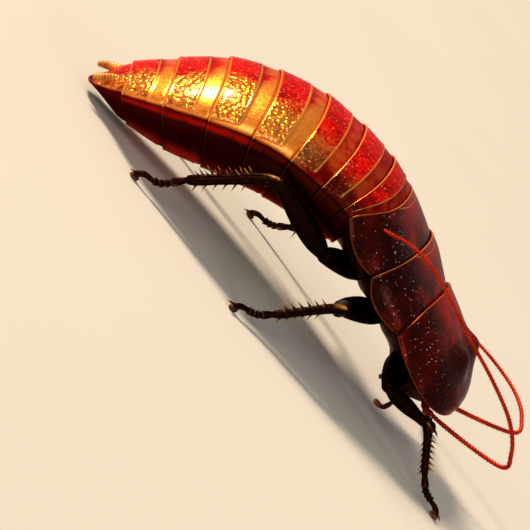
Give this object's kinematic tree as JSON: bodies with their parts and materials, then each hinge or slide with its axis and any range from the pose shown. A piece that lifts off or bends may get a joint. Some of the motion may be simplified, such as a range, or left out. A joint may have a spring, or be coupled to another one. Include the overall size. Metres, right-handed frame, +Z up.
{
  "type": "madagascar hissing cockroach",
  "caption": "Life-size still model of a Madagascar hissing cockroach standing on its feet with its back arched and its feelers out.",
  "frame": {"origin": "on the floor, below the middle of the whole model, feelers included", "axes": "+X towards the head, +Y to the animal's left, +Z up"},
  "size_m": [0.0712, 0.0442, 0.022],
  "materials": {
    "abdomen": "glossy deep red with amber bands",
    "tail": "glossy dark red brown",
    "cercus": "amber",
    "thorax_plate": "glossy dark mahogany",
    "pronotum": "glossy near black mahogany",
    "thorax_core": "dark brown",
    "head": "glossy dark brown",
    "eye": "black",
    "feeler": "orange red",
    "palp": "brown",
    "coxa": "glossy red brown",
    "leg": "glossy black brown",
    "foot": "dark brown"
  },
  "bodies": {
    "root": {"abdomen_1": "abdomen", "abdomen_2": "abdomen", "abdomen_3": "abdomen", "abdomen_4": "abdomen", "abdomen_5": "abdomen", "abdomen_6": "abdomen", "abdomen_7": "abdomen", "abdomen_tip": "tail", "antenna_left": "feeler", "antenna_right": "feeler", "cercus_left": "cercus", "cercus_right": "cercus", "coxa_front_left": "coxa", "coxa_front_right": "coxa", "coxa_hind_left": "coxa", "coxa_hind_right": "coxa", "coxa_middle_left": "coxa", "coxa_middle_right": "coxa", "eye_left": "eye", "eye_right": "eye", "femur_front_left": "leg", "femur_front_right": "leg", "femur_hind_left": "leg", "femur_hind_right": "leg", "femur_middle_left": "leg", "femur_middle_right": "leg", "foot_front_left": "foot", "foot_front_right": "foot", "foot_hind_left": "foot", "foot_hind_right": "foot", "foot_middle_left": "foot", "foot_middle_right": "foot", "head": "head", "labial_palp_left": "palp", "labial_palp_right": "palp", "maxillary_palp_left": "palp", "maxillary_palp_right": "palp", "mesonotum": "thorax_plate", "mesothorax": "thorax_core", "metanotum": "thorax_plate", "metathorax": "thorax_core", "pronotum": "pronotum", "prothorax": "thorax_core", "tibia_front_left": "leg", "tibia_front_right": "leg", "tibia_hind_left": "leg", "tibia_hind_right": "leg", "tibia_middle_left": "leg", "tibia_middle_right": "leg"}
  },
  "joints": []
}
